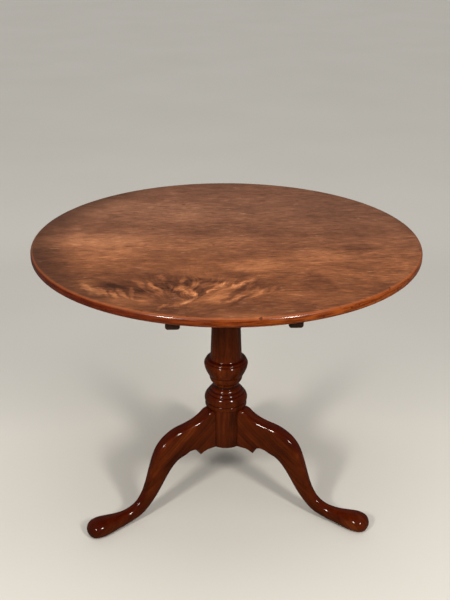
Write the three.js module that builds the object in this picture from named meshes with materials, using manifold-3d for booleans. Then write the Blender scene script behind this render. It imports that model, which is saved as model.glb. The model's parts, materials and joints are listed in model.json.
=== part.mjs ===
// Tilt top tripod table: a round board on two bearers that pivot on a block, a turned pillar,
// three cabriole legs dovetailed into its drum, and a brass spring catch under the board.
// Millimetres, +Z up. The pillar stands on the z axis, the floor is z = 0, and the third leg points to +Y.
import * as THREE from 'three';
import Module from 'manifold-3d';
import { mergeVertices } from 'three/addons/utils/BufferGeometryUtils.js';

const wasm = await Module();
wasm.setup();

// Driving dimensions
const HEIGHT = 710;
const TOP_RADIUS = 457;
const TOP_THICKNESS = 20;
const TOP_UPPER_ROUND = 8;
const TOP_LOWER_ROUND = 5;
const GAP = 0.3;                 // air between pieces that touch

const BLOCK_HALF_WIDTH = 108.5;  // along x, between the bearers
const BLOCK_HALF_DEPTH = 95;     // along y
const BLOCK_THICKNESS = 34;
const PINTLE_RADIUS = 10;
const BEARER_WIDTH = 30;
const BEARER_HALF_LENGTH = 388;
const BEARER_ROUND = 6;

const DRUM_RADIUS = 48;
const DRUM_BOTTOM = 152;
const BAND_BOTTOM = 259.5;       // underside of the turned band above the legs
const TENON_RADIUS = 22;
const LEG_HALF_WIDTH = 21;
const LEG_AZIMUTHS = { leg_left: -150, leg_right: -30, leg_rear: 90 };
const TONGUE_TOP = 236;
const TONGUE_TIP = 27.5;
const PLATE_THICKNESS = 3;

// Heights and places that follow from them
const UNDERSIDE = HEIGHT - TOP_THICKNESS;
const BLOCK_TOP = UNDERSIDE - GAP;
const BLOCK_BOTTOM = BLOCK_TOP - BLOCK_THICKNESS;
const AXIS_TO_FACE = BLOCK_THICKNESS / 2;
const AXIS_Y = AXIS_TO_FACE - BLOCK_HALF_DEPTH;
const AXIS_Z = BLOCK_TOP - AXIS_TO_FACE;
const BEARER_CENTRE = BLOCK_HALF_WIDTH + 0.5 + BEARER_WIDTH / 2;

const SCREWS = {
  bearer: { head: 5, shank: 2.6, length: 46 },
  plate: { head: 4, shank: 2.1, length: 19 },
  catch: { head: 3.2, shank: 1.5, length: 12 },
  keeper: { head: 2.6, shank: 1.3, length: 11 },
};

const finish = (color, roughness, metalness = 0) => ({ color, roughness, metalness });
const FINISHES = {
  board: finish(0x8a5a40, 0.35),
  stand: finish(0x54200f, 0.25),
  bearer: finish(0x2c1a12, 0.6),
  block: finish(0x4a3022, 0.7),
  brass: finish(0xb08d4c, 0.35, 1),
  iron: finish(0x35322f, 0.6, 1),
};

const table = new THREE.Group();

// Solids and meshes

function solidOf(geometry) {
  const bare = geometry.clone();
  bare.deleteAttribute('normal');
  bare.deleteAttribute('uv');
  const merged = mergeVertices(bare, 1e-4);
  return new wasm.Manifold(new wasm.Mesh({
    numProp: 3,
    vertProperties: merged.attributes.position.array,
    triVerts: new Uint32Array(merged.index.array),
  }));
}

function addPiece(name, solid, finishName, azimuth = 0) {
  const mesh = solid.getMesh();
  const geometry = new THREE.BufferGeometry();
  geometry.setAttribute('position', new THREE.BufferAttribute(mesh.vertProperties, 3));
  geometry.setIndex(new THREE.BufferAttribute(mesh.triVerts, 1));
  geometry.computeVertexNormals();
  const piece = new THREE.Mesh(geometry, new THREE.MeshStandardMaterial(FINISHES[finishName]));
  piece.name = name;
  piece.rotation.z = THREE.MathUtils.degToRad(azimuth);
  table.add(piece);
}

// A box from its lowest to its highest corner
function box(low, high) {
  const size = high.map((value, i) => value - low[i]);
  const geometry = new THREE.BoxGeometry(...size);
  geometry.translate(...low.map((value, i) => value + size[i] / 2));
  return solidOf(geometry);
}

// A shape turned about the z axis from a path of (radius, height)
function turned(path, segments, divisions = 4) {
  return solidOf(new THREE.LatheGeometry(path.getPoints(divisions), segments).rotateX(Math.PI / 2));
}

function cylinder(radius, bottom, top, segments = 32) {
  const path = new THREE.Path();
  path.moveTo(0, bottom);
  path.lineTo(radius, bottom);
  path.lineTo(radius, top);
  path.lineTo(0, top);
  return turned(path, segments);
}

// A plan outline (x, y) raised along z
function raised(shape, bottom, top, curveSegments = 6) {
  const geometry = new THREE.ExtrudeGeometry(shape, { depth: top - bottom, bevelEnabled: false, curveSegments });
  return solidOf(geometry.translate(0, 0, bottom));
}

// A side outline (y, z) run along x
function runAlongX(shape, from, to, curveSegments = 6) {
  const geometry = new THREE.ExtrudeGeometry(shape, { depth: to - from, bevelEnabled: false, curveSegments });
  const axes = new THREE.Matrix4().makeBasis(
    new THREE.Vector3(0, 1, 0),
    new THREE.Vector3(0, 0, 1),
    new THREE.Vector3(1, 0, 0),
  );
  return solidOf(geometry.applyMatrix4(axes).translate(from, 0, 0));
}

function outline(...points) {
  return new THREE.Shape(points.map(([x, y]) => new THREE.Vector2(x, y)));
}

function polar(radius, degrees) {
  const angle = THREE.MathUtils.degToRad(degrees);
  return [radius * Math.cos(angle), radius * Math.sin(angle)];
}

// Countersunk wood screw, head at the origin, point up the z axis; grown by a margin it is its own hole
function screwBody({ head, shank, length }, margin = 0) {
  const path = new THREE.Path();
  path.moveTo(0, margin ? -head : 0);
  path.lineTo(head + margin, margin ? -head : 0);
  path.lineTo(head + margin, margin);
  path.lineTo(shank + margin, head - shank + margin);
  path.lineTo(shank + margin, length - 2 * shank);
  path.lineTo(margin, length + margin);
  path.lineTo(0, length + margin);
  return turned(path, 10);
}

function addScrew(name, kind, place, turn = [0, 0, 0]) {
  const { head } = SCREWS[kind];
  const slot = box([-head - 1, -0.5, -1], [head + 1, 0.5, head * 0.3]);
  const screw = screwBody(SCREWS[kind]).subtract(slot);
  addPiece(name, screw.rotate(turn).translate(place), 'iron');
}

function screwHole(kind, place, turn = [0, 0, 0]) {
  return screwBody(SCREWS[kind], GAP).rotate(turn).translate(place);
}

function withHoles(solid, holes) {
  return holes.reduce((rest, hole) => rest.subtract(hole), solid);
}

// Screw places
const SIDES = { left: -1, right: 1 };
const BEARER_SCREW_YS = { front: -335, fore: -160, aft: 110, back: 335 };
const BEARER_SCREW_SINK = 1;
const bearerScrews = Object.entries(SIDES).flatMap(([side, sign]) =>
  Object.entries(BEARER_SCREW_YS).map(([row, y]) => ({
    name: `bearer_screw_${side}_${row}`,
    side,
    place: [sign * BEARER_CENTRE, y, BLOCK_BOTTOM + BEARER_SCREW_SINK],
  })));

const CASE = { front: 97, back: 150, halfWidth: 10.6, plateHalfWidth: 24, plateBottom: UNDERSIDE - 3, bottom: 676.5 };
const catchScrews = Object.entries(SIDES).flatMap(([side, sign]) =>
  Object.entries({ front: 106, back: 141 }).map(([row, y]) => ({
    name: `catch_screw_${side}_${row}`,
    place: [sign * 18, y, CASE.plateBottom],
  })));

// Board: one round plank with eased arrises

function addBoard() {
  const path = new THREE.Path();
  path.moveTo(0, UNDERSIDE);
  path.lineTo(TOP_RADIUS - TOP_LOWER_ROUND, UNDERSIDE);
  path.absarc(TOP_RADIUS - TOP_LOWER_ROUND, UNDERSIDE + TOP_LOWER_ROUND, TOP_LOWER_ROUND, -Math.PI / 2, 0);
  path.absarc(TOP_RADIUS - TOP_UPPER_ROUND, HEIGHT - TOP_UPPER_ROUND, TOP_UPPER_ROUND, 0, Math.PI / 2);
  path.lineTo(0, HEIGHT);
  const holes = [
    ...bearerScrews.map(({ place }) => screwHole('bearer', place)),
    ...catchScrews.map(({ place }) => screwHole('catch', place)),
  ];
  addPiece('top_board', withHoles(turned(path, 72, 2), holes), 'board');
}

// Bearers: rails across the grain, bored for the pintles

function addBearers() {
  for (const [side, sign] of Object.entries(SIDES)) {
    const half = BEARER_WIDTH / 2;
    const section = new THREE.Shape();
    section.moveTo(-half, BLOCK_TOP);
    section.absarc(BEARER_ROUND - half, BLOCK_BOTTOM + BEARER_ROUND, BEARER_ROUND, Math.PI, 1.5 * Math.PI);
    section.absarc(half - BEARER_ROUND, BLOCK_BOTTOM + BEARER_ROUND, BEARER_ROUND, -Math.PI / 2, 0);
    section.lineTo(half, BLOCK_TOP);
    const rail = runAlongX(section, -BEARER_HALF_LENGTH, BEARER_HALF_LENGTH, 3)
      .rotate([0, 0, 90])
      .translate([sign * BEARER_CENTRE, 0, 0]);
    const holes = bearerScrews
      .filter((screw) => screw.side === side)
      .map(({ place }) => screwHole('bearer', place));
    holes.push(pintleRod(PINTLE_RADIUS + GAP, BEARER_CENTRE + BEARER_WIDTH));
    addPiece(`bearer_${side}`, withHoles(rail, holes), 'bearer');
  }
  for (const { name, place } of bearerScrews) {
    addScrew(name, 'bearer', place);
  }
}

function pintleRod(radius, halfLength) {
  return cylinder(radius, -halfLength, halfLength, 24).rotate([0, 90, 0]).translate([0, AXIS_Y, AXIS_Z]);
}

// Block: front top arris rounded about the hinge axis, square front face as the stop at a right angle

const BLOCK_SCREWS = Object.entries(SIDES).map(([side, sign]) => ({
  name: `keeper_screw_${side}`,
  place: [sign * 8.5, BLOCK_HALF_DEPTH, 673.5],
}));
const INTO_BLOCK = [90, 0, 0];
const KEEPER = { halfWidth: 14, thickness: 1.6, bottom: 668, window: 8, windowBottom: 679, windowTop: 686 };

function keeperWindow(front) {
  const { window, windowBottom, windowTop } = KEEPER;
  return box([-window, front, windowBottom], [window, BLOCK_HALF_DEPTH + 1, windowTop]);
}

function addBlock() {
  const side = new THREE.Shape();
  side.moveTo(BLOCK_HALF_DEPTH, BLOCK_BOTTOM);
  side.lineTo(BLOCK_HALF_DEPTH, BLOCK_TOP);
  side.absarc(AXIS_Y, AXIS_Z, AXIS_TO_FACE, Math.PI / 2, Math.PI);
  side.lineTo(-BLOCK_HALF_DEPTH, BLOCK_BOTTOM);
  const bed = box(
    [-KEEPER.halfWidth - GAP, BLOCK_HALF_DEPTH - KEEPER.thickness - GAP, KEEPER.bottom - GAP],
    [KEEPER.halfWidth + GAP, BLOCK_HALF_DEPTH + 1, BLOCK_TOP + 1],
  );
  const holes = [
    cylinder(TENON_RADIUS + GAP, BLOCK_BOTTOM - 1, BLOCK_TOP + 1),
    bed,
    keeperWindow(84),
    ...BLOCK_SCREWS.map(({ place }) => screwHole('keeper', place, INTO_BLOCK)),
  ];
  const blank = runAlongX(side, -BLOCK_HALF_WIDTH, BLOCK_HALF_WIDTH, 8)
    .add(pintleRod(PINTLE_RADIUS, BEARER_CENTRE + BEARER_WIDTH / 2 - 0.5));
  addPiece('block', withHoles(blank, holes), 'block');
}

// Pillar: gun-barrel shaft over a vase, rings and a drum, with a wedged tenon on top

const WEDGE_Y = 8;
const WEDGE_DEPTH = 26;

// Tapered wedge section, grown by a margin for its kerf
function wedgeSection(y, margin) {
  const top = 1.6 + margin;
  const foot = 0.5 + margin;
  const bottom = BLOCK_TOP - WEDGE_DEPTH - margin;
  return outline([y - foot, bottom], [y + foot, bottom], [y + top, BLOCK_TOP + margin], [y - top, BLOCK_TOP + margin]);
}

function tongue(margin, reach, bottom) {
  const slope = 3 / 21;
  const halfAt = (radius) => 10 - (radius - TONGUE_TIP) * slope + margin;
  const tip = TONGUE_TIP - margin;
  const plan = outline([tip, -halfAt(tip)], [reach, -halfAt(reach)], [reach, halfAt(reach)], [tip, halfAt(tip)]);
  return raised(plan, bottom, TONGUE_TOP + margin);
}

function addPillar() {
  const path = new THREE.Path();
  path.moveTo(0, DRUM_BOTTOM);
  path.lineTo(DRUM_RADIUS, DRUM_BOTTOM);
  path.lineTo(DRUM_RADIUS, BAND_BOTTOM);
  path.lineTo(53, BAND_BOTTOM + 1);
  path.lineTo(53, 271.2);
  path.lineTo(51.8, 272);
  path.bezierCurveTo(56.2, 275, 55.8, 287, 47.2, 295.2);
  path.lineTo(45.8, 296);
  path.quadraticCurveTo(44.8, 301, 40.2, 303.4);
  path.lineTo(39, 304);
  path.quadraticCurveTo(37.6, 310.5, 32.2, 313);
  path.lineTo(31.2, 317);
  path.quadraticCurveTo(31, 325.5, 36.5, 328);
  path.bezierCurveTo(41.5, 330.5, 42.6, 340, 41.4, 345);
  path.lineTo(44.6, 347);
  path.bezierCurveTo(49, 354, 54.4, 366, 55.3, 376.5);
  path.quadraticCurveTo(55.3, 381, 52.6, 384);
  path.lineTo(51, 385.4);
  path.lineTo(51.4, 386.4);
  path.quadraticCurveTo(50.6, 390.5, 43.5, 391.2);
  path.quadraticCurveTo(40, 391.8, 39.4, 398);
  path.quadraticCurveTo(38, 430, 36.6, 470);
  path.lineTo(31, 636);
  path.quadraticCurveTo(31, 641, 34, 642);
  path.quadraticCurveTo(38, 645, 34, 648);
  path.lineTo(34, BLOCK_BOTTOM - GAP);
  path.lineTo(TENON_RADIUS, BLOCK_BOTTOM - GAP);
  path.lineTo(TENON_RADIUS, BLOCK_TOP);
  path.lineTo(0, BLOCK_TOP);
  const socket = tongue(GAP, DRUM_RADIUS + 10, DRUM_BOTTOM - 1);
  const holes = [
    ...Object.values(LEG_AZIMUTHS).map((azimuth) => socket.rotate([0, 0, azimuth])),
    ...[-WEDGE_Y, WEDGE_Y].map((y) => runAlongX(wedgeSection(y, GAP), -TENON_RADIUS - 1, TENON_RADIUS + 1)),
    ...plateScrews.filter(({ inPillar }) => inPillar).map(({ place }) => screwHole('plate', place)),
  ];
  addPiece('pillar', withHoles(turned(path, 32, 3), holes), 'stand');
  addPiece('tenon_wedge_front', runAlongX(wedgeSection(-WEDGE_Y, 0), -19.2, 19.2), 'block');
  addPiece('tenon_wedge_back', runAlongX(wedgeSection(WEDGE_Y, 0), -19.2, 19.2), 'block');
}

// Legs: sections strung between an upper and a lower edge in the leg's own plane, x outward

// [upper x, upper z, lower x, lower z, half width, squareness], from the pillar to the toe
const LEG_STATIONS = [
  [36, 258, 36, 138, LEG_HALF_WIDTH, 6],
  [58, 256, 58, 138, LEG_HALF_WIDTH, 6],
  [72, 245.5, 72, 138, LEG_HALF_WIDTH, 6],
  [92, 236.5, 86, 138, LEG_HALF_WIDTH, 5.5],
  [118, 230.5, 102, 138, LEG_HALF_WIDTH, 5],
  [150, 225, 116, 141, LEG_HALF_WIDTH, 4.5],
  [182, 209.5, 130, 149, 20.5, 4],
  [205, 185, 146, 144.5, 20, 3.6],
  [219, 153, 162, 131, 19, 3.2],
  [229, 124, 178, 110, 17.5, 3],
  [237, 100, 192, 87, 16.2, 2.8],
  [248, 75, 211, 58, 15, 2.6],
  [261, 56, 231, 35, 14.5, 2.5],
  [275, 45.5, 250, 18.5, 14.6, 2.4],
  [289, 40, 271, 9.5, 15.2, 2.4],
  [305, 37, 295, 4, 17, 2.4],
  [324, 37, 321, 0.3, 20.5, 2.3],
  [345, 39.5, 346, -3, 25, 2.3],
  [366, 41.5, 370, -4, 28.5, 2.3],
  [384, 39, 389, -1.5, 26, 2.3],
  [394, 31, 397.5, 5, 19, 2.2],
  [399.5, 21, 401, 14, 7, 2],
];

// The run of one column of the stations as a smooth curve of 0 to 1
function stationCurve(column) {
  const points = LEG_STATIONS.map((row, i) => new THREE.Vector2(i, row[column]));
  const curve = new THREE.SplineCurve(points);
  return (t) => curve.getPoint(t).y;
}

const SEAM = 1e-9;               // sines this small are zero, so the seam closes

function legBlank(steps, around) {
  const [upperX, upperZ, lowerX, lowerZ, halfWidth, squareness] = [0, 1, 2, 3, 4, 5].map(stationCurve);
  const geometry = new THREE.CylinderGeometry(1, 1, 1, around, steps);
  const place = geometry.attributes.position;
  for (let i = 0; i < place.count; i += 1) {
    const t = 0.5 - place.getY(i);
    const square = (value) => (
      Math.abs(value) < SEAM ? 0 : Math.sign(value) * Math.abs(value) ** (2 / squareness(t))
    );
    const across = square(place.getX(i)) * halfWidth(t);
    const up = (1 + square(place.getZ(i))) / 2;
    const x = THREE.MathUtils.lerp(lowerX(t), upperX(t), up);
    const z = THREE.MathUtils.lerp(lowerZ(t), upperZ(t), up);
    place.setXYZ(i, x, across, z);
  }
  return solidOf(geometry);
}

// What the saw takes off below the leg beside the pillar: two scallops that meet in a cusp
function legScallops() {
  const side = new THREE.Shape();
  side.moveTo(20, 120);
  side.lineTo(20, DRUM_BOTTOM);
  side.lineTo(68, DRUM_BOTTOM);
  side.quadraticCurveTo(79, 149.5, 87, 142);
  side.lineTo(91, 151);
  side.bezierCurveTo(97, 168, 122, 172, 141, 149);
  side.lineTo(141, 120);
  return side;
}

function addLegs() {
  const scallops = runAlongX(legScallops(), -30, 30, 5).rotate([0, 0, -90]);
  const blank = legBlank(32, 14)
    .subtract(scallops)
    .subtract(cylinder(DRUM_RADIUS + GAP, 100, 300))
    .subtract(box([300, -60, -20], [450, 60, 0]));
  const reach = DRUM_RADIUS + 6;
  const leg = blank.add(tongue(0, reach, DRUM_BOTTOM));
  for (const [name, azimuth] of Object.entries(LEG_AZIMUTHS)) {
    const holes = plateScrews
      .filter((screw) => screw.leg === name)
      .map(({ place }) => screwHole('plate', place).rotate([0, 0, -azimuth]));
    addPiece(name, withHoles(leg, holes), 'stand', azimuth);
  }
}

// Iron plate that ties the three legs to the foot of the pillar

const PLATE_TOP = DRUM_BOTTOM - GAP;
const PLATE_SCREW_RADII = { pillar: 16, leg: 58 };
const plateScrews = Object.entries(LEG_AZIMUTHS).flatMap(([leg, azimuth]) =>
  Object.entries(PLATE_SCREW_RADII).map(([into, radius]) => ({
    name: `plate_screw_${leg.slice('leg_'.length)}_${into}`,
    inPillar: into === 'pillar',
    leg: into === 'leg' ? leg : null,
    place: [...polar(radius, azimuth), PLATE_TOP - PLATE_THICKNESS],
  })));

function addPlate() {
  const plan = new THREE.Shape();
  Object.values(LEG_AZIMUTHS).forEach((azimuth, i) => {
    const angle = THREE.MathUtils.degToRad(azimuth);
    const waist = polar(19, azimuth - 60);
    if (i === 0) {
      plan.moveTo(...waist);
    } else {
      plan.lineTo(...waist);
    }
    plan.absarc(...polar(57, azimuth), 10, angle - Math.PI / 2, angle + Math.PI / 2);
  });
  const holes = plateScrews.map(({ place }) => screwHole('plate', place));
  const blank = raised(plan, PLATE_TOP - PLATE_THICKNESS, PLATE_TOP, 3);
  addPiece('tie_plate', withHoles(blank, holes), 'iron');
  for (const { name, place } of plateScrews) {
    addScrew(name, 'plate', place);
  }
}

// Catch: case under the board, sprung bolt with a knob, keeper let into the block

const BOLT = { halfWidth: 7.2, bottom: 679.6, top: 685.6, tip: 90.4, back: 120, knobY: 112, travel: 8 };
const CAVITY = { halfWidth: 7.6, bottom: 679.2, top: 686, back: 147 };
const STEM_RADIUS = 2.4;
const PIN_RADIUS = 1.5;
const COIL = { radius: 2.2, wire: 0.45, turns: 6 };

function addCase() {
  const plate = box(
    [-CASE.plateHalfWidth, CASE.front, CASE.plateBottom],
    [CASE.plateHalfWidth, CASE.back, BLOCK_TOP],
  );
  const housing = box(
    [-CASE.halfWidth, CASE.front, CASE.bottom],
    [CASE.halfWidth, CASE.back, CASE.plateBottom + 0.5],
  );
  const cavity = box(
    [-CAVITY.halfWidth, CASE.front - 1, CAVITY.bottom],
    [CAVITY.halfWidth, CAVITY.back, CAVITY.top],
  );
  const play = STEM_RADIUS + 0.6;
  const slot = box([-play, BOLT.knobY - play, CASE.bottom - 1], [play, BOLT.knobY + BOLT.travel + play, CAVITY.top]);
  const holes = catchScrews.map(({ place }) => screwHole('catch', place));
  addPiece('catch_case', withHoles(plate.add(housing), [cavity, slot, ...holes]), 'brass');
  for (const { name, place } of catchScrews) {
    addScrew(name, 'catch', place);
  }
}

function addBolt() {
  const side = outline(
    [BOLT.back, BOLT.bottom],
    [BOLT.back, BOLT.top],
    [BOLT.tip + 3, BOLT.top],
    [BOLT.tip, BOLT.top - 3],
    [BOLT.tip, BOLT.bottom],
  );
  const pinHole = cylinder(PIN_RADIUS + GAP, BOLT.bottom - 1, BOLT.bottom + 4, 12)
    .translate([0, BOLT.knobY, 0]);
  addPiece('catch_bolt', runAlongX(side, -BOLT.halfWidth, BOLT.halfWidth).subtract(pinHole), 'brass');

  const top = BOLT.bottom - GAP;
  const path = new THREE.Path();
  path.moveTo(0, top - 24);
  path.quadraticCurveTo(6.5, top - 24, 6.5, top - 18);
  path.quadraticCurveTo(6.5, top - 13, STEM_RADIUS, top - 11);
  path.lineTo(STEM_RADIUS, top);
  path.lineTo(PIN_RADIUS, top);
  path.lineTo(PIN_RADIUS, top + 3.5);
  path.lineTo(0, top + 3.5);
  addPiece('catch_knob', turned(path, 16).translate([0, BOLT.knobY, 0]), 'brass');
}

class Helix extends THREE.Curve {
  getPoint(t, target = new THREE.Vector3()) {
    const angle = 2 * Math.PI * COIL.turns * t;
    const from = BOLT.back + GAP + COIL.wire;
    const to = CAVITY.back - GAP - COIL.wire;
    const height = (BOLT.bottom + BOLT.top) / 2;
    return target.set(
      COIL.radius * Math.cos(angle),
      THREE.MathUtils.lerp(from, to, t),
      height + COIL.radius * Math.sin(angle),
    );
  }
}

function addSpring() {
  const wire = new THREE.Shape();
  wire.absarc(0, 0, COIL.wire, 0, 2 * Math.PI);
  const steps = 8 * COIL.turns;
  const coil = new THREE.ExtrudeGeometry(wire, { extrudePath: new Helix(), steps, curveSegments: 3 });
  addPiece('catch_spring', solidOf(coil), 'iron');
}

function addKeeper() {
  const plate = box(
    [-KEEPER.halfWidth, BLOCK_HALF_DEPTH - KEEPER.thickness, KEEPER.bottom],
    [KEEPER.halfWidth, BLOCK_HALF_DEPTH, BLOCK_TOP],
  );
  const holes = BLOCK_SCREWS.map(({ place }) => screwHole('keeper', place, INTO_BLOCK));
  addPiece('keeper', withHoles(plate, [keeperWindow(BLOCK_HALF_DEPTH - 10), ...holes]), 'brass');
  for (const { name, place } of BLOCK_SCREWS) {
    addScrew(name, 'keeper', place, INTO_BLOCK);
  }
}

addBoard();
addBearers();
addBlock();
addPillar();
addLegs();
addPlate();
addCase();
addBolt();
addSpring();
addKeeper();

export default table;
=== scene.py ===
"""Tilt top tripod table: a round mahogany board, turned pillar, three cabriole legs and a brass catch."""

import json
import math
import random
from itertools import pairwise

import bmesh
import bpy
from mathutils import Euler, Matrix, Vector


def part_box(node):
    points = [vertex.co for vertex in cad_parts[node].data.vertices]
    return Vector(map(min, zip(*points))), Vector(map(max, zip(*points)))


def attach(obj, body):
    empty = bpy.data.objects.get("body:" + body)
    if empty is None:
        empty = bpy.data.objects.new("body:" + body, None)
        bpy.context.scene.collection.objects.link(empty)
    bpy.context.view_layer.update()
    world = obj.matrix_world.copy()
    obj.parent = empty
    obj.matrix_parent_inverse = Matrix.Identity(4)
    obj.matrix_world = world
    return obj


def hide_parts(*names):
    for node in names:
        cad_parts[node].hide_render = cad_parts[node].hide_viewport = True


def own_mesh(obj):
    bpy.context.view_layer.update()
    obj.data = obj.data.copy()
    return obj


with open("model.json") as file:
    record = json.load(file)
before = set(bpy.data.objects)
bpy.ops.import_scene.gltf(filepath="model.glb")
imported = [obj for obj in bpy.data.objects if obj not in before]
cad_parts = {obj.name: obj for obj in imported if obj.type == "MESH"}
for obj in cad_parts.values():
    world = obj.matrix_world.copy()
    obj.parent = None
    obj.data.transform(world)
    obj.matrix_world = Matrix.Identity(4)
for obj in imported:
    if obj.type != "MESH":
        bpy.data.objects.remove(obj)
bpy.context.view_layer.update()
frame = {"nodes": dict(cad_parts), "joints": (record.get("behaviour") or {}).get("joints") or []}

MM = 0.001
FULL_TURN = 2 * math.pi


# Sizes taken from the frame, in metres

BOARD_LOW, BOARD_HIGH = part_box("top_board")
BLOCK_LOW, BLOCK_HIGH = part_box("block")
BEARERS = {side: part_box(f"bearer_{side}") for side in ("left", "right")}
KEEPER_LOW, KEEPER_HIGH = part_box("keeper")
BOLT_LOW, BOLT_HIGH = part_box("catch_bolt")
CASE_LOW, CASE_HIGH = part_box("catch_case")
KNOB_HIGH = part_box("catch_knob")[1]
PLATE_LOW, PLATE_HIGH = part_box("tie_plate")
HINGE = next(joint for joint in frame["joints"] if joint["name"] == "top_tilt")
HINGE_PLACE = Vector(HINGE["pos_m"])

# Play between pieces that fit together, in mm
CLEARANCE = 0.3
GAP = CLEARANCE * MM
LEG_AZIMUTHS = {"leg_left": -150, "leg_right": -30, "leg_rear": 90}


def mm(*lengths):
    """A point or size given in millimetres, in metres."""
    return Vector(lengths) * MM


# Shader language

class Value:
    """A number that varies over a surface. Arithmetic on it adds Math nodes."""

    def __init__(self, finish, socket):
        self.finish = finish
        self.socket = socket

    def maths(self, operation, first, second=0.0):
        return self.finish.node("Math", {"operation": operation}, {0: first, 1: second})

    def __add__(self, other):
        return self.maths("ADD", self, other)

    __radd__ = __add__

    def __sub__(self, other):
        return self.maths("SUBTRACT", self, other)

    def __rsub__(self, other):
        return self.maths("SUBTRACT", other, self)

    def __mul__(self, other):
        return self.maths("MULTIPLY", self, other)

    __rmul__ = __mul__

    def __truediv__(self, other):
        return self.maths("DIVIDE", self, other)

    def __rtruediv__(self, other):
        return self.maths("DIVIDE", other, self)

    def __pow__(self, other):
        return self.maths("POWER", self, other)


class Nodes:
    """The nodes of a material or of the world. All but plain arithmetic come from the node method."""

    def __init__(self, owner):
        owner.use_nodes = True
        self.tree = owner.node_tree
        self.tree.nodes.clear()

    def node(self, kind, settings=None, sockets=None, output=0):
        made = self.tree.nodes.new("ShaderNode" + kind)
        for name, value in (settings or {}).items():
            if name == "stops":
                set_stops(made.color_ramp, value)
            else:
                setattr(made, name, value)
        for key, value in (sockets or {}).items():
            if isinstance(value, Value):
                self.tree.links.new(value.socket, made.inputs[key])
            else:
                made.inputs[key].default_value = value
        return Value(self, made.outputs[output]) if len(made.outputs) else None


class Finish(Nodes):
    """A material and the patterns that its colour, gloss and relief are made of."""

    def __init__(self, name):
        self.material = bpy.data.materials.new(name)
        super().__init__(self.material)
        self.place = self.node("TexCoord", output="Object")

    def turned_place(self, location=(0, 0, 0), rotation=(0, 0, 0), scale=(1, 1, 1), place=None):
        sockets = {"Vector": place or self.place, "Location": location, "Rotation": rotation, "Scale": scale}
        return self.node("Mapping", None, sockets)

    def noise(self, place, scale, detail=2.0, roughness=0.5, distortion=0.0, output=0):
        sockets = {
            "Vector": place,
            "Scale": scale,
            "Detail": detail,
            "Roughness": roughness,
            "Distortion": distortion,
        }
        return self.node("TexNoise", None, sockets, output)

    def stirred(self, place, amount, scale, detail, roughness=0.5):
        """The place pushed about by noise, by up to the amount along each axis."""
        push = self.noise(place, scale, detail, roughness, output=1)
        return self.node("VectorMath", {"operation": "MULTIPLY_ADD"}, {0: push, 1: amount, 2: place})

    def parts(self, vector, axes="XYZ"):
        return [self.node("SeparateXYZ", None, {0: vector}, axis) for axis in axes]

    def joined(self, x, y, z=0.0):
        return self.node("CombineXYZ", None, {0: x, 1: y, 2: z})

    def rise(self, value, low, high, start=0.0, end=1.0):
        """A smooth step of value from low to high."""
        sockets = {0: value, 1: low, 2: high, 3: start, 4: end}
        return self.node("MapRange", {"interpolation_type": "SMOOTHSTEP"}, sockets)

    def graded(self, light, stops):
        """The colour at each point, from dark to pale as light goes from 0 to 1."""
        return self.node("ValToRGB", {"stops": stops}, {0: light})

    def mix(self, factor, first, second, blend="MIX"):
        settings = {"data_type": "RGBA", "blend_type": blend}
        return self.node("Mix", settings, {0: factor, 6: first, 7: second}, 2)

    def bump(self, height, distance, strength=1.0, normal=None):
        sockets = {"Height": height, "Distance": distance, "Strength": strength}
        if normal:
            sockets["Normal"] = normal
        return self.node("Bump", None, sockets)

    def surface(self, **sockets):
        shader = self.node("BsdfPrincipled", None, {name.replace("_", " "): v for name, v in sockets.items()})
        self.node("OutputMaterial", None, {"Surface": shader})
        return self.material


def set_stops(ramp, stops):
    while len(ramp.elements) > 1:
        ramp.elements.remove(ramp.elements[-1])
    ramp.elements[0].position, ramp.elements[0].color = stops[0]
    for position, colour in stops[1:]:
        ramp.elements.new(position).color = colour


def colour(red, green, blue):
    """A display colour of 0 to 255 a channel, as linear light."""
    def linear(level):
        share = level / 255
        return share / 12.92 if share <= 0.04045 else ((share + 0.055) / 1.055) ** 2.4
    return (linear(red), linear(green), linear(blue), 1.0)


# Finishes

# Where the crotch figure of the board fans out from, near its front edge
PLUME_ROOT = mm(-78, -440)
PLUME_SPREAD = 150 * MM
# Where the strokes of the plume stand out most, as the patches below
PLUME_HEART = [
    (-245, -320, 60, 50, 0.95),
    (-165, -290, 60, 70, 0.75),
    (-80, -305, 60, 65, 0.95),
    (25, -300, 85, 60, 0.80),
    (110, -250, 90, 50, 0.40),
]
# Faded and darkened patches on the board: middle x, y, half length, half width in mm, and strength
PALE_PATCHES = [
    (-345, -10, 150, 45, 1.15),
    (-150, -40, 210, 55, 0.50),
    (-200, 190, 210, 95, 0.85),
    (-300, -110, 110, 60, 0.55),
    (200, -130, 70, 55, 0.75),
    (60, -180, 75, 55, 0.75),
    (-280, 290, 60, 25, 0.4),
    (150, 190, 60, 40, 0.35),
    (310, 200, 30, 15, 0.45),
    (10, 280, 30, 15, 0.4),
    (-195, -330, 60, 50, 0.55),
    (-60, -210, 60, 35, 0.35),
]
DARK_PATCHES = [
    (305, -80, 45, 30, 0.8),
    (-30, -210, 60, 25, 0.45),
    (-385, 200, 60, 110, 0.35),
    (-400, -130, 50, 90, 0.45),
    (-230, -240, 90, 40, 0.4),
    (-115, -300, 40, 60, 0.6),
    (130, -300, 120, 40, 0.3),
    (240, 20, 120, 30, 0.3),
    (90, -400, 150, 45, 0.95),
    (240, -320, 110, 60, 0.45),
    (-120, -420, 150, 40, 0.85),
]
TUFT_SEED = 5
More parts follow.
